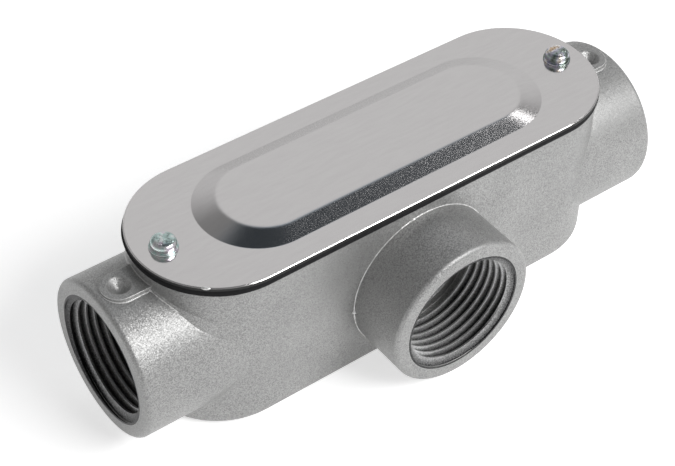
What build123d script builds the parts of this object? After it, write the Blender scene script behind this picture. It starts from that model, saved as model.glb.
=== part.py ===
from build123d import *
import os
from math import tan, radians

os.makedirs("parts", exist_ok=True)

# T-shaped conduit body for rigid conduit of 1 inch trade size, in millimetres.
# X runs along the two end hubs, the third hub points to -Y, and +Z is up, through the cover.
# The origin is the middle of the flat base that the box rests on.

# Hubs for a tapered pipe thread, 11.5 turns to the inch
hub_outer_radius = 20.75
thread_root_radius = 16.6
thread_depth = 17.7
conduit_stop_radius = 13.3
conduit_stop_thickness = 2.2
mouth_chamfer = 0.4
mouth_rim_chamfer = 0.5
run_length = 158.8
end_hub_length = 11.85
side_hub_length = 16.85

# Box of the casting
rim_margin = 0.3
rim_rise = 3.35
outer_draft = 0.5
base_drop = 0.3
base_rounding = 2.6
rim_wall = 3.0
floor_thickness = 3.0
cavity_draft = 1.0
cavity_floor_chamfer = 2.0
barrel_wall = 3.0
conduit_stop_chamfer = 0.8

# Pad on each end hub, with the drill start for a set screw
pad_centre_from_mouth = 6.5
pad_half_width = 4.6
pad_height = 0.55
drill_start_radius = 2.95
drill_start_depth = 2.6

# Gasket and cover
cover_overhang = 0.95
cover_shortening = 0.7
cover_thickness = 1.0
cover_edge_chamfer = 0.25
gasket_thickness = 1.5
gasket_inset = 0.2
gasket_web = 4.0
gasket_opening_corner_radius = 8.0

# Raised panel of the cover
panel_border = 6.3
panel_end_border = 11.4
panel_slope_run = 4.3
panel_end_slope_run = 2.1
panel_height = 1.5
panel_top_rounding = 1.8
panel_draw_in = 0.35

# Cover screws with washers
screw_past_end_centre = 14.1
screw_radius = 1.5
screw_length = 8.0
screw_tip_chamfer = 0.3
head_radius = 2.9
head_height = 2.0
head_rim_height = 0.8
head_shoulder_radius = 2.5
head_shoulder_height = 1.5
head_crown_radius = 1.6
recess_length = 3.3
recess_width = 0.75
recess_depth = 0.9
washer_radius = 3.6
washer_thickness = 0.5
washer_clearance = 0.1
cover_hole_clearance = 0.4
gasket_hole_clearance = 0.25
tapped_hole_clearance = 0.05
tapped_hole_spare = 1.0
boss_wall = 2.7
boss_length = 8.0

# Places that follow from the sizes above
axis_height = hub_outer_radius + base_drop
mouth_x = run_length / 2
box_rim_radius = hub_outer_radius + rim_margin
box_half_straight = mouth_x - end_hub_length - box_rim_radius
box_height = axis_height + hub_outer_radius + rim_rise
side_hub_reach = box_rim_radius + side_hub_length
box_foot_radius = box_rim_radius + box_height * tan(radians(outer_draft))
cavity_radius = box_rim_radius - rim_wall
stop_face_x = mouth_x - thread_depth
barrel_end_x = stop_face_x - conduit_stop_thickness
cavity_half_length = box_half_straight + cavity_radius
cover_half_straight = box_half_straight - cover_shortening
cover_end_radius = box_rim_radius + cover_overhang
panel_foot_half_straight = cover_half_straight - panel_end_border
panel_foot_radius = cover_end_radius - panel_border
panel_top_half_straight = panel_foot_half_straight - panel_end_slope_run
panel_top_radius = panel_foot_radius - panel_slope_run
screw_x = box_half_straight + screw_past_end_centre
cover_bottom = box_height + gasket_thickness
cover_top = cover_bottom + cover_thickness
washer_top = cover_top + washer_thickness
pad_centre_x = mouth_x - pad_centre_from_mouth
pad_top = axis_height + hub_outer_radius + pad_height
boss_radius = screw_radius + boss_wall
screw_tip_height = washer_top - screw_length
tapped_hole_depth = box_height - screw_tip_height + tapped_hole_spare


# Body: one die casting. The walls are drafted outwards to the base, and the hubs run into them.
with BuildPart() as body:
    with BuildSketch(Plane.XY):
        SlotCenterToCenter(2 * box_half_straight, 2 * box_foot_radius)
    extrude(amount=box_height, taper=outer_draft)
    fillet(body.edges().group_by(Axis.Z)[0], radius=base_rounding)

    # Barrels of the hubs, each with a broken outer rim, and the pads on the end hubs
    with BuildSketch(Plane.YZ.offset(-mouth_x)):
        with Locations((0, axis_height)):
            Circle(hub_outer_radius)
    extrude(amount=run_length)
    with BuildSketch(Plane.XZ):
        with Locations((0, axis_height)):
            Circle(hub_outer_radius)
    extrude(amount=side_hub_reach)
    mouth_faces = [
        body.faces().sort_by(Axis.X)[0],
        body.faces().sort_by(Axis.X)[-1],
        body.faces().sort_by(Axis.Y)[0],
    ]
    chamfer([edge for face in mouth_faces for edge in face.outer_wire().edges()], length=mouth_rim_chamfer)
    with BuildSketch(Plane.XY.offset(axis_height)):
        SlotCenterToCenter(2 * pad_centre_x, 2 * pad_half_width)
    extrude(amount=pad_top - axis_height)

    # Cavity, drafted inwards to the floor, with a chamfer round the floor
    with BuildSketch(Plane.XY.offset(box_height)):
        SlotCenterToCenter(2 * box_half_straight, 2 * cavity_radius)
    extrude(amount=floor_thickness - box_height, taper=cavity_draft, mode=Mode.SUBTRACT)
    floor_edges = body.edges().filter_by_position(Axis.Z, floor_thickness - 0.01, floor_thickness + 0.01)
    chamfer(floor_edges, length=cavity_floor_chamfer)

    # The end barrels reach into the cavity, and a boss for each cover screw stands on them
    for side in (-1, 1):
        with BuildSketch(Plane.YZ.offset(side * barrel_end_x)):
            with Locations((0, axis_height)):
                Circle(thread_root_radius + barrel_wall)
        extrude(amount=side * (cavity_half_length + rim_wall / 2 - barrel_end_x))
    with BuildSketch(Plane.XY.offset(box_height)):
        with Locations((-screw_x, 0), (screw_x, 0)):
            Circle(boss_radius)
    extrude(amount=-boss_length)

    # Bores: the thread's root as a plain wall behind a lead chamfer, down to the stop that the
    # conduit's end meets, and on through the stop, whose lips are chamfered for the wires
    hub_mouths = (
        Plane(origin=(-mouth_x, 0, axis_height), z_dir=(-1, 0, 0)),
        Plane(origin=(mouth_x, 0, axis_height), z_dir=(1, 0, 0)),
        Plane(origin=(0, -side_hub_reach, axis_height), z_dir=(0, -1, 0)),
    )
    from_mouth = (Align.CENTER, Align.CENTER, Align.MAX)
    from_cavity = (Align.CENTER, Align.CENTER, Align.MIN)
    wide_lip_radius = conduit_stop_radius + conduit_stop_chamfer
    with Locations(*hub_mouths):
        Cylinder(thread_root_radius, thread_depth, align=from_mouth, mode=Mode.SUBTRACT)
        Cone(thread_root_radius, thread_root_radius + mouth_chamfer, mouth_chamfer, align=from_mouth,
             mode=Mode.SUBTRACT)
        with Locations((0, 0, -thread_depth)):
            Cylinder(conduit_stop_radius, end_hub_length, align=from_mouth, mode=Mode.SUBTRACT)
            Cone(conduit_stop_radius, wide_lip_radius, conduit_stop_chamfer, align=from_mouth,
                 mode=Mode.SUBTRACT)
    with Locations(*hub_mouths[:2]):
        with Locations((0, 0, -thread_depth - conduit_stop_thickness)):
            Cone(wide_lip_radius, conduit_stop_radius, conduit_stop_chamfer, align=from_cavity,
                 mode=Mode.SUBTRACT)

    # Tapped holes for the cover screws, and the drill starts in the pads
    with Locations((-screw_x, 0, box_height), (screw_x, 0, box_height)):
        Hole(screw_radius + tapped_hole_clearance, depth=tapped_hole_depth)
    with Locations((-pad_centre_x, 0, pad_top), (pad_centre_x, 0, pad_top)):
        Cone(0, drill_start_radius, drill_start_depth, align=(Align.CENTER, Align.CENTER, Align.MAX),
             mode=Mode.SUBTRACT)

body.part.label = "body"
export_step(body.part, "parts/body.step")
print("body", body.part.is_valid, len(body.solids()), body.part.volume)


# Gasket: a flat rubber ring, cut a little smaller than the cover and wide at its ends
gasket_hole_radius = screw_radius + gasket_hole_clearance
gasket_opening_half_length = screw_x - gasket_hole_radius - gasket_web
with BuildPart() as gasket:
    with BuildSketch(Plane.XY.offset(box_height)):
        SlotCenterToCenter(2 * cover_half_straight, 2 * (cover_end_radius - gasket_inset))
        RectangleRounded(
            2 * gasket_opening_half_length, 2 * cavity_radius, gasket_opening_corner_radius, mode=Mode.SUBTRACT
        )
        with Locations((-screw_x, 0), (screw_x, 0)):
            Circle(gasket_hole_radius, mode=Mode.SUBTRACT)
    extrude(amount=gasket_thickness)
gasket.part.label = "gasket"
export_step(gasket.part, "parts/gasket.step")


# Cover: stamped sheet of one thickness, its middle pressed up into a panel with sloping sides
with BuildPart() as cover:
    with BuildSketch(Plane.XY.offset(cover_bottom)):
        SlotCenterToCenter(2 * cover_half_straight, 2 * cover_end_radius)
    extrude(amount=cover_thickness)
    chamfer(cover.edges().group_by(Axis.Z)[-1], length=cover_edge_chamfer)
    with BuildSketch(Plane.XY.offset(cover_top)):
        SlotCenterToCenter(2 * panel_foot_half_straight, 2 * panel_foot_radius)
    with BuildSketch(Plane.XY.offset(cover_top + panel_height)):
        SlotCenterToCenter(2 * panel_top_half_straight, 2 * panel_top_radius)
    loft()
    fillet(cover.edges().group_by(Axis.Z)[-1], radius=panel_top_rounding)
    with BuildSketch(Plane.XY.offset(cover_bottom)):
        SlotCenterToCenter(2 * panel_foot_half_straight, 2 * (panel_foot_radius - panel_draw_in))
    with BuildSketch(Plane.XY.offset(cover_bottom + panel_height)):
        SlotCenterToCenter(2 * panel_top_half_straight, 2 * (panel_top_radius - panel_draw_in))
    loft(mode=Mode.SUBTRACT)
    with Locations((-screw_x, 0, cover_top), (screw_x, 0, cover_top)):
        Hole(screw_radius + cover_hole_clearance, depth=cover_thickness)
cover.part.label = "cover"
export_step(cover.part, "parts/cover.step")


# Washers: thin flat rings
def make_washer(x):
    with BuildPart() as washer:
        with BuildSketch(Plane.XY.offset(cover_top)):
            with Locations((x, 0)):
                Circle(washer_radius)
                Circle(screw_radius + washer_clearance, mode=Mode.SUBTRACT)
        extrude(amount=washer_thickness)
    return washer


# Cover screws: pan head machine screws with a cross recess, turned about their own axis
def make_screw(x):
    with BuildPart() as screw:
        with BuildSketch(Plane.XZ):
            with BuildLine():
                crown_centre = (x, washer_top + head_height)
                crown_rim = (x + head_crown_radius, washer_top + head_height)
                shoulder = (x + head_shoulder_radius, washer_top + head_shoulder_height)
                head_rim = (x + head_radius, washer_top + head_rim_height)
                head_foot = (x + head_radius, washer_top)
                neck = (x + screw_radius, washer_top)
                tip_shoulder = (x + screw_radius, screw_tip_height + screw_tip_chamfer)
                tip_rim = (x + screw_radius - screw_tip_chamfer, screw_tip_height)
                tip_centre = (x, screw_tip_height)
                Polyline(
                    crown_centre, crown_rim, shoulder, head_rim, head_foot, neck,
                    tip_shoulder, tip_rim, tip_centre, crown_centre,
                )
            make_face()
        revolve(axis=Axis((x, 0, 0), (0, 0, 1)))
        with BuildSketch(Plane.XY.offset(washer_top + head_height)):
            with Locations((x, 0)):
                Rectangle(recess_length, recess_width, rotation=45)
                Rectangle(recess_length, recess_width, rotation=-45)
        extrude(amount=-recess_depth, mode=Mode.SUBTRACT)
    return screw


for side, x in (("left", -screw_x), ("right", screw_x)):
    washer = make_washer(x)
    washer.part.label = f"screw_washer_{side}"
    export_step(washer.part, f"parts/screw_washer_{side}.step")
    screw = make_screw(x)
    screw.part.label = f"cover_screw_{side}"
    export_step(screw.part, f"parts/cover_screw_{side}.step")
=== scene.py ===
import math

import bmesh
import bpy
from mathutils import Matrix, Vector


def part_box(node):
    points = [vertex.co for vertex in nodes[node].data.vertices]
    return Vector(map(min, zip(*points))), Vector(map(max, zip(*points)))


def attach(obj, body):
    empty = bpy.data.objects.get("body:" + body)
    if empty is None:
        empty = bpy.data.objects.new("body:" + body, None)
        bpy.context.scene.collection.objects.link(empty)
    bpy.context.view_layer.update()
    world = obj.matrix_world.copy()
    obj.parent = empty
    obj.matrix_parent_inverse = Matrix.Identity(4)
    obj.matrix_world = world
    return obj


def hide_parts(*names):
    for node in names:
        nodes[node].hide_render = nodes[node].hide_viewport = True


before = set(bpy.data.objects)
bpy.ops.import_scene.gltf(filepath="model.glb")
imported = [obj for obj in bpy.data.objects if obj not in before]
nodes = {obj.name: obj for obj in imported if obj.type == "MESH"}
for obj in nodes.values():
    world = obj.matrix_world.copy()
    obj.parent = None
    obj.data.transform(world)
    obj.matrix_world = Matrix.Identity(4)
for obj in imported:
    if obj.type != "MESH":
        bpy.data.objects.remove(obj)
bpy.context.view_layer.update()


# Body: one aluminium die casting with three threaded hubs, sprayed with a thin grey metallic paint.
# The paint sparkles a little and lies unevenly on the cast skin. Along the sharp edges it is paler, partly
# where it thins out and partly as a painted highlight.
def new_material(name):
    material = bpy.data.materials.new(name)
    material.use_nodes = True
    tree = material.node_tree
    return material, tree.nodes, tree.links, tree.nodes["Principled BSDF"]


def new_group(name, inputs, outputs):
    group = bpy.data.node_groups.new(name, "ShaderNodeTree")
    for label, kind, value in inputs:
        socket = group.interface.new_socket(label, in_out="INPUT", socket_type=kind)
        if value is not None:
            socket.default_value = value
    for label, kind in outputs:
        group.interface.new_socket(label, in_out="OUTPUT", socket_type=kind)
    return group, group.nodes.new("NodeGroupInput"), group.nodes.new("NodeGroupOutput")


def add_group(tree_nodes, group, **values):
    node = tree_nodes.new("ShaderNodeGroup")
    node.node_tree = group
    for label, value in values.items():
        node.inputs[label].default_value = value
    return node


def math_node(tree_nodes, operation, first=None, second=None):
    node = tree_nodes.new("ShaderNodeMath")
    node.operation = operation
    if first is not None:
        node.inputs[0].default_value = first
    if second is not None:
        node.inputs[1].default_value = second
    return node


def vector_node(tree_nodes, operation, second=None):
    node = tree_nodes.new("ShaderNodeVectorMath")
    node.operation = operation
    if second is not None:
        node.inputs[1].default_value = second
    return node


def noise_node(tree_nodes, scale, detail=2.0):
    node = tree_nodes.new("ShaderNodeTexNoise")
    node.inputs["Scale"].default_value = scale
    node.inputs["Detail"].default_value = detail
    return node


def ramp_node(tree_nodes, *stops):
    node = tree_nodes.new("ShaderNodeValToRGB")
    elements = node.color_ramp.elements
    while len(elements) < len(stops):
        elements.new(0.5)
    for element, (place, colour) in zip(elements, stops):
        element.position = place
        element.color = (*colour, 1)
    return node


def colour_mix_node(tree_nodes, second=None, blend="MIX"):
    node = tree_nodes.new("ShaderNodeMix")
    node.data_type = "RGBA"
    node.blend_type = blend
    if second is not None:
        node.inputs["B"].default_value = (*second, 1)
    return node


def bump_node(tree_nodes, strength, distance):
    node = tree_nodes.new("ShaderNodeBump")
    node.inputs["Strength"].default_value = strength
    node.inputs["Distance"].default_value = distance
    return node


# Flakes: each small cell of the paint tips the surface its own way, so that some catch the light.
flakes, flakes_in, flakes_out = new_group(
    "metal_flakes",
    [("Position", "NodeSocketVector", None), ("Normal", "NodeSocketVector", None),
     ("Cells per metre", "NodeSocketFloat", 3600.0), ("Tilt", "NodeSocketFloat", 0.2)],
    [("Normal", "NodeSocketVector"), ("Shade", "NodeSocketFloat")],
)
cells = flakes.nodes.new("ShaderNodeTexVoronoi")
centred = vector_node(flakes.nodes, "SUBTRACT", (0.5, 0.5, 0.5))
tilted = vector_node(flakes.nodes, "SCALE")
summed = vector_node(flakes.nodes, "ADD")
unit = vector_node(flakes.nodes, "NORMALIZE")
split_shade = flakes.nodes.new("ShaderNodeSeparateColor")
flakes.links.new(flakes_in.outputs["Position"], cells.inputs["Vector"])
flakes.links.new(flakes_in.outputs["Cells per metre"], cells.inputs["Scale"])
flakes.links.new(cells.outputs["Color"], centred.inputs[0])
flakes.links.new(centred.outputs[0], tilted.inputs[0])
flakes.links.new(flakes_in.outputs["Tilt"], tilted.inputs["Scale"])
flakes.links.new(flakes_in.outputs["Normal"], summed.inputs[0])
flakes.links.new(tilted.outputs[0], summed.inputs[1])
flakes.links.new(summed.outputs[0], unit.inputs[0])
flakes.links.new(cells.outputs["Color"], split_shade.inputs[0])
flakes.links.new(unit.outputs[0], flakes_out.inputs["Normal"])
flakes.links.new(split_shade.outputs[0], flakes_out.inputs["Shade"])

# Worn and highlit edges: where the rounded normal leaves the flat one, an edge is near. The mask lightens
# the paint there, partly for paint worn thin and partly as a painted highlight.
worn_and_highlit_edges, edge_group_in, edge_group_out = new_group(
    "worn_and_highlit_edges",
    [("Rounded normal", "NodeSocketVector", None), ("Flat normal", "NodeSocketVector", None),
     ("Reach", "NodeSocketFloat", 6.0)],
    [("Mask", "NodeSocketFloat")],
)
agree = vector_node(worn_and_highlit_edges.nodes, "DOT_PRODUCT")
differ = math_node(worn_and_highlit_edges.nodes, "SUBTRACT", first=1.0)
spread = math_node(worn_and_highlit_edges.nodes, "MULTIPLY")
spread.use_clamp = True
worn_and_highlit_edges.links.new(edge_group_in.outputs["Rounded normal"], agree.inputs[0])
worn_and_highlit_edges.links.new(edge_group_in.outputs["Flat normal"], agree.inputs[1])
worn_and_highlit_edges.links.new(agree.outputs["Value"], differ.inputs[1])
worn_and_highlit_edges.links.new(differ.outputs[0], spread.inputs[0])
worn_and_highlit_edges.links.new(edge_group_in.outputs["Reach"], spread.inputs[1])
worn_and_highlit_edges.links.new(spread.outputs[0], edge_group_out.inputs["Mask"])


def grey_paint(name, edge_rounding):
    material, paint_nodes, paint_links, paint = new_material(name)
    paint.inputs["Metallic"].default_value = 0.6
    paint.inputs["Roughness"].default_value = 0.46
    place = paint_nodes.new("ShaderNodeTexCoord")
    surface = paint_nodes.new("ShaderNodeNewGeometry")
    rounded = surface
    if edge_rounding:
        rounded = paint_nodes.new("ShaderNodeBevel")
        rounded.samples = 6
        rounded.inputs["Radius"].default_value = edge_rounding
    sparkle = add_group(paint_nodes, flakes, **{"Cells per metre": 5400.0, "Tilt": 0.21})
    edge_mask = add_group(paint_nodes, worn_and_highlit_edges, Reach=4.0)
    skin = noise_node(paint_nodes, 2400.0, detail=3.0)
    skin_bump = bump_node(paint_nodes, strength=0.3, distance=0.00004)
    clouds = noise_node(paint_nodes, 55.0, detail=4.0)
    cloud_colours = ramp_node(paint_nodes, (0.3, (0.335, 0.335, 0.332)), (0.7, (0.385, 0.384, 0.38)))
    fleck_mix = colour_mix_node(paint_nodes, blend="OVERLAY")
    fleck_mix.inputs["Factor"].default_value = 0.30
    # Paler near edges: partly paint worn thin, partly a painted highlight along the edges.
    edge_wear_and_highlight_mix = colour_mix_node(paint_nodes, (0.62, 0.62, 0.61))
    paint_links.new(place.outputs["Object"], sparkle.inputs["Position"])
    paint_links.new(rounded.outputs["Normal"], sparkle.inputs["Normal"])
    paint_links.new(rounded.outputs["Normal"], edge_mask.inputs["Rounded normal"])
    paint_links.new(surface.outputs["Normal"], edge_mask.inputs["Flat normal"])
    paint_links.new(place.outputs["Object"], skin.inputs["Vector"])
    paint_links.new(skin.outputs["Fac"], skin_bump.inputs["Height"])
    paint_links.new(sparkle.outputs["Normal"], skin_bump.inputs["Normal"])
    paint_links.new(skin_bump.outputs["Normal"], paint.inputs["Normal"])
    paint_links.new(place.outputs["Object"], clouds.inputs["Vector"])
    paint_links.new(clouds.outputs["Fac"], cloud_colours.inputs["Fac"])
    paint_links.new(cloud_colours.outputs["Color"], fleck_mix.inputs["A"])
    paint_links.new(sparkle.outputs["Shade"], fleck_mix.inputs["B"])
    paint_links.new(fleck_mix.outputs["Result"], edge_wear_and_highlight_mix.inputs["A"])
    paint_links.new(edge_mask.outputs["Mask"], edge_wear_and_highlight_mix.inputs["Factor"])
    paint_links.new(edge_wear_and_highlight_mix.outputs["Result"], paint.inputs["Base Color"])
    return material


def finish_piece(bm, name, material, sharp_from=math.radians(35), replaced=()):
    bmesh.ops.remove_doubles(bm, verts=bm.verts, dist=2e-7)
    bmesh.ops.recalc_face_normals(bm, faces=bm.faces)
    for face in bm.faces:
        face.smooth = True
    mesh = bpy.data.meshes.new(name)
    bm.to_mesh(mesh)
    bm.free()
    if sharp_from is not None:
        mesh.set_sharp_from_angle(angle=sharp_from)
    piece = bpy.data.objects.new(name, mesh)
    bpy.context.scene.collection.objects.link(piece)
    mesh.materials.append(material)
    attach(piece, "root")
    if replaced:
        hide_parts(*replaced)


# The casting itself: the solid body, with the outer rim of each hub's mouth rounded as it left the die.
hub_axis_height = 0.02105
hub_barrel_radius = 0.02075
hub_mouth_rounding = 0.0013
hub_mouth_ring_depths = (0.00003, 0.0001, 0.00025, 0.0008, 0.00115, hub_mouth_rounding)
hub_face_middle_radius = 0.0185
casting_crease_from = math.radians(6)
body_low, body_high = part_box("body")
hubs = {
    "left": (Vector((-1, 0, 0)), -body_low.x),
    "right": (Vector((1, 0, 0)), body_high.x),
    "side": (Vector((0, -1, 0)), -body_low.y),
}
body_paint = grey_paint("body_paint", edge_rounding=0.0005)
bm = bmesh.new()
bm.from_mesh(nodes["body"].data)
# The solid's mesh comes as loose patches, one for each of its faces, so a patch's border is a crease.
for edge in bm.edges:
    edge.smooth = not edge.is_boundary
bmesh.ops.remove_doubles(bm, verts=bm.verts, dist=1e-6)
for outward, reach in hubs.values():
    for depth in hub_mouth_ring_depths:
        bmesh.ops.bisect_plane(
            bm, geom=bm.verts[:] + bm.edges[:] + bm.faces[:], dist=1e-7,
            plane_co=outward * (reach - depth), plane_no=outward,
        )
    for vertex in bm.verts:
        depth = max(0, reach - vertex.co.dot(outward))
        on_axis = outward * vertex.co.dot(outward) + Vector((0, 0, hub_axis_height))
        away = vertex.co - on_axis
        if depth < hub_mouth_rounding + 1e-6 and away.length > hub_face_middle_radius:
            drop = max(0, hub_mouth_rounding - depth)
            rounded_back = hub_mouth_rounding - math.sqrt(hub_mouth_rounding ** 2 - drop ** 2)
            vertex.co = on_axis + away.normalized() * (hub_barrel_radius - rounded_back)
            for edge in vertex.link_edges:
                edge.smooth = True
for edge in bm.edges:
    if not edge.smooth and edge.calc_face_angle(0) < casting_crease_from:
        edge.smooth = True
finish_piece(bm, "cast_body", body_paint, sharp_from=None, replaced=("body",))


# Hub threads: a tapered pipe thread of 11.5 turns to the inch, cut into each hub after casting.
# A lead chamfer cuts off its first turns. Its colour runs from near black in the roots to bright on the
# crests, a painted shade in the grooves and a painted highlight on the crests. The outer turns are painted
# darker still, a painted shade, and more so at the two end hubs.
cut_metal, cut_nodes, cut_links, cut = new_material("cut_thread_metal")
cut.inputs["Metallic"].default_value = 0.85
cut.inputs["Roughness"].default_value = 0.36
cut_place = cut_nodes.new("ShaderNodeTexCoord")
cut_height = cut_nodes.new("ShaderNodeAttribute")
cut_height.attribute_name = "thread_height"
cut_grain = noise_node(cut_nodes, 3200.0)
cut_scatter = math_node(cut_nodes, "MULTIPLY_ADD", second=1.0)
cut_scatter.inputs[2].default_value = -0.52
cut_shift = math_node(cut_nodes, "ADD")
# Painted shade and highlight: near black at the thread roots and bright on the crests, set by the
# thread_height attribute.
thread_shade_and_highlight_tones = ramp_node(
    cut_nodes, (0.10, (0.025, 0.025, 0.026)), (0.50, (0.21, 0.21, 0.21)), (1.0, (0.66, 0.66, 0.66)),
)
cut_bump = bump_node(cut_nodes, strength=0.9, distance=0.00003)
cut_links.new(cut_place.outputs["Object"], cut_grain.inputs["Vector"])
cut_links.new(cut_grain.outputs["Fac"], cut_scatter.inputs[0])
cut_links.new(cut_scatter.outputs[0], cut_shift.inputs[0])
cut_links.new(cut_height.outputs["Fac"], cut_shift.inputs[1])
cut_links.new(cut_shift.outputs[0], thread_shade_and_highlight_tones.inputs["Fac"])
cut_links.new(cut_grain.outputs["Fac"], cut_bump.inputs["Height"])
cut_links.new(thread_shade_and_highlight_tones.outputs["Color"], cut.inputs["Base Color"])
cut_links.new(cut_bump.outputs["Normal"], cut.inputs["Normal"])

thread_pitch = 0.0254 / 11.5
thread_crest_radius = 0.01485
thread_foot_radius = 0.0172
thread_half_crest = 0.00020
thread_flank_angle = math.radians(30)
thread_depth = 0.0166
thread_taper = 1 / 32
thread_setback = 0.00003
thread_steps_per_turn = 96
lead_chamfer_radius = 0.0165
lead_chamfer_slope = 1.3
# The outer turns of each hub are painted darker, a painted shade that fades out over this depth, and more so
# at the end hubs.
outer_turn_shade_reach = 0.0045
outer_turn_shade = {"left": 0.85, "right": 0.85, "side": 0.4}


def turn_towards(outward):
    return Vector((0, 0, 1)).rotation_difference(outward).to_matrix().to_4x4()


def cut_hub_thread(name, outward, reach, outer_shade_share):
    foot_to_crest = thread_foot_radius - thread_crest_radius
    half_foot = foot_to_crest * math.tan(thread_flank_angle) + thread_half_crest
    turns = (thread_depth + half_foot) / thread_pitch
    steps = round(turns * thread_steps_per_turn)
    bm = bmesh.new()
    profile = [
        bm.verts.new((radius, 0, height - thread_depth))
        for radius, height in (
            (thread_foot_radius, -half_foot), (thread_crest_radius, -thread_half_crest),
            (thread_crest_radius, thread_half_crest), (thread_foot_radius, half_foot),
        )
    ]
    for first, second in zip(profile, profile[1:] + profile[:1]):
        bm.edges.new((first, second))
    bmesh.ops.spin(
        bm, geom=bm.verts[:] + bm.edges[:], cent=(0, 0, 0), axis=(0, 0, 1),
        dvec=(0, 0, thread_pitch / thread_steps_per_turn),
        angle=math.tau * steps / thread_steps_per_turn, steps=steps,
    )
    bmesh.ops.holes_fill(bm, edges=[edge for edge in bm.edges if edge.is_boundary], sides=0)
    # The height from root to crest sets the colour: low is painted shade, high is painted highlight.
    height_layer = bm.verts.layers.float.new("thread_height")
    for vertex in bm.verts:
        depth = max(-vertex.co.z, thread_setback)
        radius = math.hypot(vertex.co.x, vertex.co.y)
        tapered_in = depth * thread_taper
        wanted = max(radius - tapered_in, lead_chamfer_radius - depth * lead_chamfer_slope)
        height = (thread_foot_radius - wanted - tapered_in) / foot_to_crest
        # Painted shade on the outer turns, fading inwards.
        in_outer_shade = max(0, 1 - depth / outer_turn_shade_reach)
        vertex[height_layer] = min(height, 1.0) * (1 - outer_shade_share * in_outer_shade)
        vertex.co.x *= wanted / radius
        vertex.co.y *= wanted / radius
        vertex.co.z = -depth
    mouth = outward * reach + Vector((0, 0, hub_axis_height))
    bmesh.ops.transform(bm, matrix=Matrix.Translation(mouth) @ turn_towards(outward), verts=bm.verts)
    finish_piece(bm, name, cut_metal, sharp_from=math.radians(28))


for hub, (outward, reach) in hubs.items():
    cut_hub_thread(f"{hub}_hub_thread", outward, reach, outer_turn_shade[hub])


# Gasket: matt black sheet rubber, cut out flat and pressed between the cover and the rim of the box.
# The screws squeeze it, so that its edge bulges out unevenly, and most round the left end.
gasket_rubber, rubber_nodes, rubber_links, rubber = new_material("gasket_rubber")
rubber.inputs["Roughness"].default_value = 0.85
rubber.inputs["Specular IOR Level"].default_value = 0.25
rubber_place = rubber_nodes.new("ShaderNodeTexCoord")
rubber_grain = noise_node(rubber_nodes, 900.0)
rubber_tones = ramp_node(rubber_nodes, (0, (0.006, 0.006, 0.0065)), (1, (0.018, 0.018, 0.019)))
rubber_links.new(rubber_place.outputs["Object"], rubber_grain.inputs["Vector"])
rubber_links.new(rubber_grain.outputs["Fac"], rubber_tones.inputs["Fac"])
rubber_links.new(rubber_tones.outputs["Color"], rubber.inputs["Base Color"])

gasket_low, gasket_high = (corner.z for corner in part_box("gasket"))
gasket_end_centre = 0.0458
gasket_edge_from = 0.0203
gasket_bulge = 0.0003
gasket_left_bulge = 0.00035
gasket_left_from = -0.036
gasket_left_over = 0.02
gasket_waves = 0.15
gasket_waves_along = 310
gasket_waves_across = 270
gasket_least_bulge = 0.12
gasket_ring_shares = (0.12, 0.3, 0.5, 0.7, 0.88)
bm = bmesh.new()
bm.from_mesh(nodes["gasket"].data)
bmesh.ops.remove_doubles(bm, verts=bm.verts, dist=1e-6)
for share in gasket_ring_shares:
    height = gasket_low + (gasket_high - gasket_low) * share
    bmesh.ops.bisect_plane(
        bm, geom=bm.verts[:] + bm.edges[:] + bm.faces[:], dist=1e-7,
        plane_co=(0, 0, height), plane_no=(0, 0, 1),
    )
for vertex in bm.verts:
    along = max(-gasket_end_centre, min(gasket_end_centre, vertex.co.x))
    away = vertex.co - Vector((along, 0, vertex.co.z))
    if away.length > gasket_edge_from:
        share = (vertex.co.z - gasket_low) / (gasket_high - gasket_low)
        wave = math.sin(vertex.co.x * gasket_waves_along) * math.sin(vertex.co.y * gasket_waves_across + 1)
        towards_left_end = max(0, min(1, (gasket_left_from - vertex.co.x) / gasket_left_over))
        bulge = gasket_bulge + gasket_left_bulge * towards_left_end
        bulge *= 1 - gasket_waves + gasket_waves * wave
        vertex.co += away.normalized() * bulge * math.sqrt(max(1 - (2 * share - 1) ** 2, gasket_least_bulge))
finish_piece(bm, "squeezed_gasket", gasket_rubber, replaced=("gasket",))


# Cover: bare aluminium sheet with a faint grain along its length, as it came from the rolls.
# A press drew the raised panel, whose slopes opened up like orange peel, and sheared the rim, which is
# bright where the blade cut it, and rough below, where the sheet broke off. The lower part of the rim is
# also painted near black, a painted shade.
def range_node(tree_nodes, low, high, at_low=0.0, at_high=1.0, interpolation="LINEAR"):
    node = tree_nodes.new("ShaderNodeMapRange")
    node.interpolation_type = interpolation
    node.inputs["From Min"].default_value = low
    node.inputs["From Max"].default_value = high
    node.inputs["To Min"].default_value = at_low
    node.inputs["To Max"].default_value = at_high
    return node


cover_thickness = 0.001
cover_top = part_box("cover")[0].z + cover_thickness
cover_sheet, sheet_nodes, sheet_links, sheet = new_material("cover_sheet")
sheet.inputs["Metallic"].default_value = 1.0
sheet_place = sheet_nodes.new("ShaderNodeTexCoord")
sheet_height = sheet_nodes.new("ShaderNodeSeparateXYZ")
sheet_tilt = sheet_nodes.new("ShaderNodeSeparateXYZ")
sheet_links.new(sheet_place.outputs["Object"], sheet_height.inputs[0])
sheet_links.new(sheet_place.outputs["Normal"], sheet_tilt.inputs[0])

# The panel's top edge is drawn round, and the foot of its slope and the rim of the cover are crisp.
sheet_edge_radius = range_node(
    sheet_nodes, cover_top + 0.00015, cover_top + 0.00115, at_low=0.0003, at_high=0.0012,
)
sheet_bevel = sheet_nodes.new("ShaderNodeBevel")
sheet_bevel.samples = 6
sheet_links.new(sheet_height.outputs["Z"], sheet_edge_radius.inputs["Value"])
sheet_links.new(sheet_edge_radius.outputs["Result"], sheet_bevel.inputs["Radius"])

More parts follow.
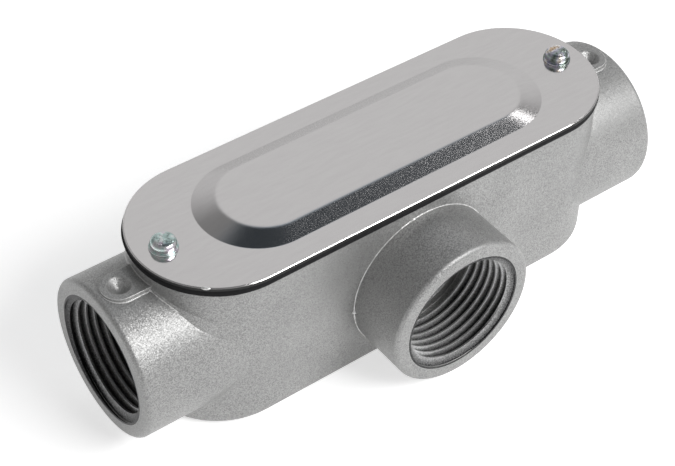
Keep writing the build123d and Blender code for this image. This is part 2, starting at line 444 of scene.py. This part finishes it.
# A slope of the panel is tilted sheet, but tilted less than the sheared rim.
sheet_tilted = range_node(sheet_nodes, 0.976, 0.950)
sheet_not_rim = math_node(sheet_nodes, "GREATER_THAN", second=0.88)
sheet_slope = math_node(sheet_nodes, "MULTIPLY")
sheet_links.new(sheet_tilt.outputs["Z"], sheet_tilted.inputs["Value"])
sheet_links.new(sheet_tilt.outputs["Z"], sheet_not_rim.inputs[0])
sheet_links.new(sheet_tilted.outputs["Result"], sheet_slope.inputs[0])
sheet_links.new(sheet_not_rim.outputs[0], sheet_slope.inputs[1])

# Orange peel: small pits in the slopes, rougher inside than the skin between them.
sheet_peel = noise_node(sheet_nodes, 5000.0)
sheet_peel_height = math_node(sheet_nodes, "MULTIPLY")
sheet_peel_bump = bump_node(sheet_nodes, strength=0.62, distance=0.00003)
sheet_pits = range_node(sheet_nodes, 0.47, 0.60)
sheet_slope_pits = math_node(sheet_nodes, "MULTIPLY")
sheet_skin_roughness = math_node(sheet_nodes, "MULTIPLY_ADD", second=0.15)
sheet_skin_roughness.inputs[2].default_value = 0.13
sheet_links.new(sheet_place.outputs["Object"], sheet_peel.inputs["Vector"])
sheet_links.new(sheet_peel.outputs["Fac"], sheet_peel_height.inputs[0])
sheet_links.new(sheet_slope.outputs[0], sheet_peel_height.inputs[1])
sheet_links.new(sheet_peel_height.outputs[0], sheet_peel_bump.inputs["Height"])
sheet_links.new(sheet_bevel.outputs["Normal"], sheet_peel_bump.inputs["Normal"])
sheet_links.new(sheet_peel.outputs["Fac"], sheet_pits.inputs["Value"])
sheet_links.new(sheet_pits.outputs["Result"], sheet_slope_pits.inputs[0])
sheet_links.new(sheet_slope.outputs[0], sheet_slope_pits.inputs[1])
sheet_links.new(sheet_slope_pits.outputs[0], sheet_skin_roughness.inputs[0])

# The grain of the rolled sheet is drawn out along its length.
sheet_stretch = sheet_nodes.new("ShaderNodeMapping")
sheet_stretch.inputs["Scale"].default_value = (160.0, 900.0, 900.0)
sheet_grain = noise_node(sheet_nodes, 1.0, detail=4.0)
sheet_tones = ramp_node(sheet_nodes, (0.3, (0.675, 0.657, 0.658)), (0.7, (0.70, 0.685, 0.683)))
sheet_grain_bump = bump_node(sheet_nodes, strength=0.012, distance=0.00002)
sheet_links.new(sheet_place.outputs["Object"], sheet_stretch.inputs["Vector"])
sheet_links.new(sheet_stretch.outputs["Vector"], sheet_grain.inputs["Vector"])
sheet_links.new(sheet_grain.outputs["Fac"], sheet_tones.inputs["Fac"])
sheet_links.new(sheet_grain.outputs["Fac"], sheet_grain_bump.inputs["Height"])
sheet_links.new(sheet_peel_bump.outputs["Normal"], sheet_grain_bump.inputs["Normal"])
sheet_links.new(sheet_grain_bump.outputs["Normal"], sheet.inputs["Normal"])

# The lower part of the rim, where the sheet broke off, is rough, and it is painted near black as a painted
# shade.
sheet_broken_rim_and_shade = range_node(sheet_nodes, cover_top - 0.00015, cover_top - 0.00023)
sheet_roughness = sheet_nodes.new("ShaderNodeMix")
sheet_roughness.inputs["B"].default_value = 0.6
# Painted shade: the lower rim is made near black.
sheet_colour = colour_mix_node(sheet_nodes, (0.06, 0.06, 0.06))
sheet_links.new(sheet_height.outputs["Z"], sheet_broken_rim_and_shade.inputs["Value"])
sheet_links.new(sheet_broken_rim_and_shade.outputs["Result"], sheet_roughness.inputs["Factor"])
sheet_links.new(sheet_skin_roughness.outputs[0], sheet_roughness.inputs["A"])
sheet_links.new(sheet_roughness.outputs["Result"], sheet.inputs["Roughness"])
sheet_links.new(sheet_broken_rim_and_shade.outputs["Result"], sheet_colour.inputs["Factor"])
sheet_links.new(sheet_tones.outputs["Color"], sheet_colour.inputs["A"])
sheet_links.new(sheet_colour.outputs["Result"], sheet.inputs["Base Color"])

nodes["cover"].data.materials.clear()
nodes["cover"].data.materials.append(cover_sheet)


# Cover screws: two steel machine screws with a pan head and a cross recess, each on a flat washer
# with rolled edges. Bright zinc plating covers them, and its thin film of oxide tints it in patches,
# blue and green on the left pair, and all colours on the right one.
def zinc_finish(name, scale, tints):
    material, zinc_nodes, zinc_links, zinc = new_material(name)
    zinc.inputs["Metallic"].default_value = 1.0
    zinc.inputs["Roughness"].default_value = 0.26
    place = zinc_nodes.new("ShaderNodeTexCoord")
    patches = noise_node(zinc_nodes, scale)
    patch_tints = ramp_node(zinc_nodes, *tints)
    # Painted shade: the cross recess is made near black by the recess_depth attribute.
    recess = zinc_nodes.new("ShaderNodeAttribute")
    recess.attribute_name = "recess_depth"
    recess_shade_share = math_node(zinc_nodes, "MULTIPLY", second=3.0)
    recess_shade_share.use_clamp = True
    recess_painted_shade = colour_mix_node(zinc_nodes, (0.045, 0.05, 0.05))
    zinc_links.new(place.outputs["Object"], patches.inputs["Vector"])
    zinc_links.new(patches.outputs["Fac"], patch_tints.inputs["Fac"])
    zinc_links.new(patch_tints.outputs["Color"], recess_painted_shade.inputs["A"])
    zinc_links.new(recess.outputs["Fac"], recess_shade_share.inputs[0])
    zinc_links.new(recess_shade_share.outputs[0], recess_painted_shade.inputs["Factor"])
    zinc_links.new(recess_painted_shade.outputs["Result"], zinc.inputs["Base Color"])
    return material


zinc_finishes = {
    "left": zinc_finish("zinc_blue_green", 480.0, (
        (0.32, (0.44, 0.56, 0.54)), (0.46, (0.62, 0.76, 0.74)),
        (0.58, (0.80, 0.82, 0.82)), (0.68, (0.70, 0.64, 0.72)),
    )),
    "right": zinc_finish("zinc_rainbow", 380.0, (
        (0.34, (0.14, 0.16, 0.14)), (0.45, (0.36, 0.42, 0.40)), (0.53, (0.56, 0.54, 0.66)),
        (0.60, (0.80, 0.78, 0.76)), (0.70, (0.62, 0.46, 0.32)),
    )),
}

screw_distance = 0.0606
screw_places = {"left": -screw_distance, "right": screw_distance}
screw_turns = {"left": math.radians(28), "right": math.radians(63)}
screw_round_steps = 72
washer_thickness = 0.0005
washer_outline = (
    (0.00165, 0.00004), (0.00169, 0), (0.00338, 0), (0.00347, 0.00005), (0.00352, 0.00014),
    (0.00353, 0.00025), (0.00352, 0.00036), (0.00347, 0.00045), (0.00338, washer_thickness),
    (0.00169, washer_thickness), (0.00165, 0.00046), (0.00165, 0.00004),
)
head_height = 0.00228
shank_length = 0.008
screw_outline = (
    (0, head_height), (0.00090, 0.00227), (0.00165, 0.00222), (0.00222, 0.00212), (0.00264, 0.00195),
    (0.00293, 0.00168), (0.00310, 0.00135), (0.00319, 0.00096), (0.00321, 0.00054),
    (0.00318, 0.00018), (0.00310, 0.00003), (0.00298, 0), (0.00150, 0), (0.00150, -0.00770),
    (0.00120, -shank_length), (0, -shank_length),
)
recess_length = 0.0042
recess_width = 0.0010
recess_depth = 0.0014
recess_floor_scale = (0.74, 0.74, 0.25)
head_crown_depth = 0.0008
head_rim_height = 0.0003


def lathe(bm, outline):
    ring = [bm.verts.new((radius, 0, height)) for radius, height in outline]
    for first, second in zip(ring, ring[1:]):
        bm.edges.new((first, second))
    bmesh.ops.spin(
        bm, geom=bm.verts[:] + bm.edges[:], cent=(0, 0, 0), axis=(0, 0, 1),
        angle=math.tau, steps=screw_round_steps, use_merge=True,
    )
    bmesh.ops.remove_doubles(bm, verts=bm.verts, dist=1e-6)


def cut_cross(bm):
    crown_from = head_height - head_crown_depth
    for along in (Vector((1, 0, 0)), Vector((0, 1, 0))):
        for reach in (-recess_length / 2, -recess_width / 2, recess_width / 2, recess_length / 2):
            crown = [face for face in bm.faces if face.calc_center_median().z > crown_from]
            parts = dict.fromkeys(crown)
            for face in crown:
                parts.update(dict.fromkeys(face.edges))
                parts.update(dict.fromkeys(face.verts))
            bmesh.ops.bisect_plane(bm, geom=list(parts), dist=1e-7, plane_co=along * reach, plane_no=along)
    cross = []
    for face in bm.faces:
        middle = face.calc_center_median()
        narrow, wide = sorted((abs(middle.x), abs(middle.y)))
        if middle.z > crown_from and wide < recess_length / 2 and narrow < recess_width / 2:
            cross.append(face)
    grown = bmesh.ops.extrude_face_region(bm, geom=cross)["geom"]
    floor_verts = [item for item in grown if isinstance(item, bmesh.types.BMVert)]
    from_top = Matrix.Translation((0, 0, -head_height))
    bmesh.ops.scale(bm, vec=recess_floor_scale, space=from_top, verts=floor_verts)
    bmesh.ops.translate(bm, vec=(0, 0, -recess_depth), verts=floor_verts)
    # The walls and floor of the cross recess are marked for painted shade.
    recess_layer = bm.verts.layers.float.new("recess_depth")
    for vertex in bm.verts:
        in_cross = math.hypot(vertex.co.x, vertex.co.y) < recess_length / 2
        if in_cross and head_rim_height < vertex.co.z < head_height - recess_depth / 2:
            vertex[recess_layer] = 1.0


for side, zinc_plating in zinc_finishes.items():
    bm = bmesh.new()
    lathe(bm, washer_outline)
    bmesh.ops.translate(bm, vec=(screw_places[side], 0, cover_top), verts=bm.verts)
    finish_piece(
        bm, f"rolled_washer_{side}", zinc_plating, replaced=(f"screw_washer_{side}",),
    )

    bm = bmesh.new()
    lathe(bm, screw_outline)
    cut_cross(bm)
    driven_home = Matrix.Rotation(screw_turns[side], 3, "Z")
    bmesh.ops.rotate(bm, cent=(0, 0, 0), matrix=driven_home, verts=bm.verts)
    bmesh.ops.translate(bm, vec=(screw_places[side], 0, cover_top + washer_thickness), verts=bm.verts)
    finish_piece(
        bm, f"pan_head_screw_{side}", zinc_plating, replaced=(f"cover_screw_{side}",),
    )


# Flash: thin lines of metal that squeezed into the joints of the casting die, left on the body where the
# hubs meet the box. They are pale all over, partly rubbed bare metal and partly a painted highlight along
# the joint.
rubbed_and_glint_metal, rubbed_nodes, rubbed_links, rubbed = new_material("rubbed_flash_glint")
rubbed.inputs["Metallic"].default_value = 0.6
rubbed.inputs["Roughness"].default_value = 0.38
rubbed_place = rubbed_nodes.new("ShaderNodeTexCoord")
rubbed_patches = noise_node(rubbed_nodes, 900.0, detail=3.0)
# Near white tones: partly bare rubbed metal, partly a painted highlight.
rubbed_and_glint_tones = ramp_node(rubbed_nodes, (0.36, (0.60, 0.60, 0.594)), (0.54, (0.90, 0.90, 0.89)))
rubbed_links.new(rubbed_place.outputs["Object"], rubbed_patches.inputs["Vector"])
rubbed_links.new(rubbed_patches.outputs["Fac"], rubbed_and_glint_tones.inputs["Fac"])
rubbed_links.new(rubbed_and_glint_tones.outputs["Color"], rubbed.inputs["Base Color"])

box_end_centre = 0.0465
box_rim_radius = 0.02105
box_rim_height = 0.04515
box_draft = math.tan(math.radians(0.5))
flash_radius = 0.00013
flash_sharp_from = math.radians(80)
left_flash_standoff = 0.0004


def wall_reach(height):
    return box_rim_radius + (box_rim_height - height) * box_draft


def end_reach(across, height):
    return box_end_centre + math.sqrt(max(wall_reach(height) ** 2 - across ** 2, 0))


# A line runs round a hub from one angle to the other, in degrees, one step to a degree.
def flash_line(name, outward, first_angle, last_angle, thickness, distance_out):
    half_step = 0.5
    bm = bmesh.new()
    lay_flat = Matrix.Translation((hub_barrel_radius, 0, 0)) @ Matrix.Rotation(math.radians(90), 4, "X")
    bmesh.ops.create_circle(bm, cap_ends=False, segments=8, radius=flash_radius, matrix=lay_flat)
    to_start = Matrix.Rotation(math.radians(first_angle), 3, "Z")
    bmesh.ops.rotate(bm, cent=(0, 0, 0), matrix=to_start, verts=bm.verts)
    sweep = last_angle - first_angle
    bmesh.ops.spin(
        bm, geom=bm.verts[:] + bm.edges[:], cent=(0, 0, 0), axis=(0, 0, 1),
        angle=math.radians(sweep), steps=sweep,
    )
    bmesh.ops.holes_fill(bm, edges=[edge for edge in bm.edges if edge.is_boundary], sides=0)
    turn = turn_towards(outward)
    for vertex in bm.verts:
        angle = math.degrees(math.atan2(vertex.co.y, vertex.co.x)) % 360
        if angle > last_angle + half_step:
            angle -= 360
        radius = math.hypot(vertex.co.x, vertex.co.y)
        size = thickness(angle)
        wanted = hub_barrel_radius + (radius - hub_barrel_radius) * size
        vertex.co.x *= wanted / radius
        vertex.co.y *= wanted / radius
        vertex.co.z *= size
        place = turn @ vertex.co + Vector((0, 0, hub_axis_height))
        vertex.co = place + outward * distance_out(place)
    finish_piece(bm, name, rubbed_and_glint_metal, flash_sharp_from)


# The line ripples and has a few spurs. Both are given as shares of its plain radius.
def ripple(angle):
    return 1 + 0.25 * math.sin(angle * 0.9) * math.sin(angle * 0.37 + 1) + 0.12 * math.sin(angle * 2.3)


def spur(angle, centre, width, rise):
    return rise * math.exp(-((angle - centre) / width) ** 2)


def side_flash_size(angle):
    spurs = spur(angle, 100, 1.1, 2.2) + spur(angle, 183, 1.2, 5.0) + spur(angle, 188, 1.4, 2.2)
    return ripple(angle) + spurs


def left_flash_size(angle):
    grown_in = min(1, (angle + 58) / 22)
    return 1.25 * ripple(angle) * grown_in + spur(angle, -12.5, 1.2, 2.6)


def right_flash_size(angle):
    return 0.7 * ripple(angle)


flash_line(
    "side_hub_flash", hubs["side"][0], -40, 230, side_flash_size,
    lambda place: wall_reach(place.z),
)
flash_line(
    "left_hub_flash", hubs["left"][0], -56, -12, left_flash_size,
    lambda place: end_reach(place.y, place.z) + left_flash_standoff,
)
flash_line(
    "right_hub_flash", hubs["right"][0], 124, 168, right_flash_size,
    lambda place: end_reach(place.y, place.z),
)


# Root webs: the left hub runs into the round end of the box through a small cast web on each side,
# wider towards the base. They carry the body's paint, without rounded edges, as they are too thin.
web_paint = grey_paint("body_paint_webs", edge_rounding=None)
web_first_angle = 4
web_sweep = 60
web_least_width = 0.0004
web_added_width = 0.0016
web_widens_from = 26
web_widens_over = 32
web_widening_curve = 1.3
web_fades_over = 14
# The corners of its triangle, on the hub, on the wall and inside both: the rise over the hub and the
# run along it, each as a share of the width and a fixed part.
web_corners = ((-0.51, -0.0001, 1.3, 0), (2.38, 0, -0.4, -0.0001), (-0.51, -0.0009, -0.4, -0.0009))


def root_web(name, across_sign):
    bm = bmesh.new()
    on_hub, on_wall, inside = (bm.verts.new((corner, 0, 0)) for corner in (1, 2, 3))
    for first, second in ((on_hub, on_wall), (on_wall, inside), (inside, on_hub)):
        bm.edges.new((first, second))
    bmesh.ops.spin(
        bm, geom=bm.verts[:] + bm.edges[:], cent=(0, 0, 0), axis=(0, 0, 1),
        angle=math.radians(web_sweep), steps=web_sweep,
    )
    bmesh.ops.holes_fill(bm, edges=[edge for edge in bm.edges if edge.is_boundary], sides=0)
    for vertex in bm.verts:
        corner = round(math.hypot(vertex.co.x, vertex.co.y))
        angle = math.degrees(math.atan2(vertex.co.y, vertex.co.x)) + web_first_angle
        widened = max(0, min(1, (angle - web_widens_from) / web_widens_over)) ** web_widening_curve
        faded = max(0, min(1, (web_first_angle + web_sweep - angle) / web_fades_over))
        width = (web_least_width + web_added_width * widened) * faded
        rise_share, rise, run_share, run = web_corners[corner - 1]
        radius = hub_barrel_radius + width * rise_share + rise
        height = hub_axis_height + radius * math.cos(math.radians(angle))
        across = radius * math.sin(math.radians(angle))
        along = end_reach(across, height) + width * run_share + run
        vertex.co = Vector((-along, across * across_sign, height))
    finish_piece(bm, name, web_paint, sharp_from=math.radians(50))


root_web("root_web_left_near", -1)
root_web("root_web_left_far", 1)


# Pad flash: the foot and the upper edge of each set screw pad carry a hair of flash. It is pale all over,
# partly rubbed bright where hands and tools touch it and partly a painted highlight along the edges.
pad_centre = body_high.x - 0.0065
pad_line_start = pad_centre - 0.0052
pad_arc_start = pad_centre - 0.003
pad_foot_half_width = 0.00475
pad_edge_half_width = 0.00452
pad_edge_height = 0.04231
pad_foot_line_radius = 0.00009
pad_edge_line_radius = 0.00006


def rubbed_glint_line(name, points, radius):
    curve = bpy.data.curves.new(name, "CURVE")
    curve.dimensions = "3D"
    curve.bevel_depth = radius
    curve.bevel_resolution = 2
    curve.use_fill_caps = True
    line = curve.splines.new("NURBS")
    line.points.add(len(points) - 1)
    for point, place in zip(line.points, points):
        point.co = (*place, 1)
    line.order_u = 3
    line.use_endpoint_u = True
    drawn = bpy.data.objects.new(name + "_line", curve)
    bm = bmesh.new()
    bm.from_mesh(bpy.data.meshes.new_from_object(drawn))
    bpy.data.objects.remove(drawn)
    finish_piece(bm, name, rubbed_and_glint_metal, flash_sharp_from)


def pad_outline(end, half_width, height_at):
    path = [(pad_line_start, -half_width), (pad_arc_start, -half_width)]
    for turn in range(0, 100, 12):
        angle = math.radians(turn)
        path.append((pad_centre + half_width * math.sin(angle), -half_width * math.cos(angle)))
    return [(along * end, across, height_at(across)) for along, across in path]


def barrel_top(across):
    return hub_axis_height + math.sqrt(hub_barrel_radius ** 2 - across ** 2)


for side, end in (("left", -1), ("right", 1)):
    foot_line = pad_outline(end, pad_foot_half_width, barrel_top)
    edge_line = pad_outline(end, pad_edge_half_width, lambda across: pad_edge_height)
    rubbed_glint_line(f"pad_foot_flash_{side}", foot_line, pad_foot_line_radius)
    rubbed_glint_line(f"pad_edge_flash_{side}", edge_line, pad_edge_line_radius)


# Rim burr: a small burr of bare aluminium on the near left rim of the cover, pushed up where a tool slipped.
# It lies along the rim, and its near white colour is partly a painted glint.
burr_place = Vector((-0.06012, -0.01660, cover_top + 0.00003))
burr_turn = Matrix.Rotation(math.radians(-41), 3, "Z")
burr_radius = 0.0006
burr_stretch = (1.9, 0.75, 0.65)
bm = bmesh.new()
bmesh.ops.create_icosphere(bm, subdivisions=3, radius=burr_radius)
bmesh.ops.scale(bm, vec=burr_stretch, verts=bm.verts)
bmesh.ops.rotate(bm, cent=(0, 0, 0), matrix=burr_turn, verts=bm.verts)
bmesh.ops.translate(bm, vec=burr_place, verts=bm.verts)
finish_piece(bm, "cover_rim_burr", rubbed_and_glint_metal)


# Studio: a pale floor that glows a little, one large soft light in front and a small one on the right.
# Camera and transmission rays meet white air. Glossy rays meet a grey studio with a backdrop behind
# and a low sky, so that the bare sheet mirrors the greys of the photograph.
floor_paper, floor_nodes, floor_links, floor_shader = new_material("floor_paper")
floor_shader.inputs["Base Color"].default_value = (0.86, 0.86, 0.86, 1)
floor_shader.inputs["Roughness"].default_value = 0.9
floor_shader.inputs["Emission Color"].default_value = (1, 1, 1, 1)
floor_path = floor_nodes.new("ShaderNodeLightPath")
floor_through = math_node(floor_nodes, "ADD")
floor_shown = math_node(floor_nodes, "ADD")
floor_glow = math_node(floor_nodes, "MULTIPLY", second=0.56)
floor_links.new(floor_path.outputs["Is Glossy Ray"], floor_through.inputs[0])
floor_links.new(floor_path.outputs["Is Transmission Ray"], floor_through.inputs[1])
floor_links.new(floor_path.outputs["Is Camera Ray"], floor_shown.inputs[0])
floor_links.new(floor_through.outputs[0], floor_shown.inputs[1])
floor_links.new(floor_shown.outputs[0], floor_glow.inputs[0])
floor_links.new(floor_glow.outputs[0], floor_shader.inputs["Emission Strength"])
floor_half_size = 6.0
floor_below_base = Matrix.Translation((0, 0, -0.00005))
bm = bmesh.new()
bmesh.ops.create_grid(bm, x_segments=1, y_segments=1, size=floor_half_size, matrix=floor_below_base)
floor_mesh = bpy.data.meshes.new("studio_floor")
bm.to_mesh(floor_mesh)
bm.free()
floor_mesh.materials.append(floor_paper)
floor = bpy.data.objects.new("studio_floor", floor_mesh)
bpy.context.scene.collection.objects.link(floor)

light_distance = 0.9
light_aim = Vector((0, 0, 0.03))


def soft_light(name, toward, width, height, power):
    data = bpy.data.lights.new(name, "AREA")
    data.shape = "RECTANGLE"
    data.size = width
    data.size_y = height
    data.energy = power
    light = bpy.data.objects.new(name, data)
    direction = Vector(toward).normalized()
    light.location = direction * light_distance + light_aim
    light.rotation_euler = direction.to_track_quat("Z", "Y").to_euler()
    bpy.context.scene.collection.objects.link(light)


soft_light("front_softbox", toward=(0.33, -0.66, 0.68), width=0.55, height=0.42, power=6.2)
soft_light("right_softbox", toward=(0.66, 0.13, 0.74), width=0.09, height=0.09, power=0.12)

world = bpy.data.worlds.new("studio_air")
bpy.context.scene.world = world
world.use_nodes = True
air_nodes = world.node_tree.nodes
air_links = world.node_tree.links
air = air_nodes["Background"]
air_direction = air_nodes.new("ShaderNodeTexCoord")
air_height = air_nodes.new("ShaderNodeSeparateXYZ")
air_low_sky = range_node(air_nodes, 0.75, 0.25, at_high=0.50, interpolation="SMOOTHSTEP")
air_links.new(air_direction.outputs["Generated"], air_height.inputs[0])
air_links.new(air_height.outputs["Z"], air_low_sky.inputs["Value"])

air_backdrop_side = vector_node(air_nodes, "DOT_PRODUCT", (0.546, 0.675, 0.496))
air_backdrop = range_node(air_nodes, 0.76, 0.97, at_high=0.71, interpolation="SMOOTHSTEP")
air_links.new(air_direction.outputs["Generated"], air_backdrop_side.inputs[0])
air_links.new(air_backdrop_side.outputs["Value"], air_backdrop.inputs["Value"])

# A dark bluish card hangs high on the right. It keeps the near slope of the cover's panel dark.
air_card_side = vector_node(air_nodes, "DOT_PRODUCT", (0.25, 0.14, 0.957))
air_card = range_node(air_nodes, 0.905, 0.965, at_low=0.24, at_high=0.05, interpolation="SMOOTHSTEP")
air_tint = ramp_node(air_nodes, (0.90, (1, 1, 1)), (0.965, (0.74, 0.87, 1)))
air_links.new(air_direction.outputs["Generated"], air_card_side.inputs[0])
air_links.new(air_card_side.outputs["Value"], air_card.inputs["Value"])
air_links.new(air_card_side.outputs["Value"], air_tint.inputs["Fac"])
air_links.new(air_tint.outputs["Color"], air.inputs["Color"])

air_high = math_node(air_nodes, "MAXIMUM")
air_mirrored = math_node(air_nodes, "MAXIMUM")
air_path = air_nodes.new("ShaderNodeLightPath")
air_direct = math_node(air_nodes, "ADD")
air_seen = air_nodes.new("ShaderNodeMix")
air_seen.inputs["B"].default_value = 1.0
air_links.new(air_backdrop.outputs["Result"], air_high.inputs[0])
air_links.new(air_card.outputs["Result"], air_high.inputs[1])
air_links.new(air_high.outputs[0], air_mirrored.inputs[0])
air_links.new(air_low_sky.outputs["Result"], air_mirrored.inputs[1])
air_links.new(air_mirrored.outputs[0], air_seen.inputs["A"])
air_links.new(air_path.outputs["Is Camera Ray"], air_direct.inputs[0])
air_links.new(air_path.outputs["Is Transmission Ray"], air_direct.inputs[1])
air_links.new(air_direct.outputs[0], air_seen.inputs["Factor"])
air_links.new(air_seen.outputs["Result"], air.inputs["Strength"])

# The camera stands and turns as the photograph's did, by the outlines of the cover and the hub mouths.
camera_azimuth = math.radians(-38.44)
camera_elevation = math.radians(43.86)
camera_roll = math.radians(2.18)
camera_distance = 0.421663
camera_left = 0.008624
camera_down = 0.021087
camera_sensor_width_mm = 36.0
focal_length_px = 1723.46
photo_width_px = 675
toward_camera = Vector((
    math.sin(camera_azimuth) * math.cos(camera_elevation),
    -math.cos(camera_azimuth) * math.cos(camera_elevation),
    math.sin(camera_elevation),
))
level_right = Vector((math.cos(camera_azimuth), math.sin(camera_azimuth), 0))
level_up = toward_camera.cross(level_right)
camera_right = level_right * math.cos(camera_roll) + level_up * math.sin(camera_roll)
camera_up = level_up * math.cos(camera_roll) - level_right * math.sin(camera_roll)
camera_place = Vector((0, 0, cover_top)) + (
    camera_distance * toward_camera - camera_left * camera_right - camera_down * camera_up
)
camera_turn = Matrix((camera_right, camera_up, toward_camera)).transposed().to_4x4()
camera_data = bpy.data.cameras.new("camera")
camera_data.sensor_width = camera_sensor_width_mm
camera_data.lens = focal_length_px * camera_sensor_width_mm / photo_width_px
camera_data.clip_start = 0.01
camera = bpy.data.objects.new("camera", camera_data)
camera.matrix_world = Matrix.Translation(camera_place) @ camera_turn
scene = bpy.context.scene
scene.collection.objects.link(camera)
scene.camera = camera
scene.view_settings.view_transform = "Standard"
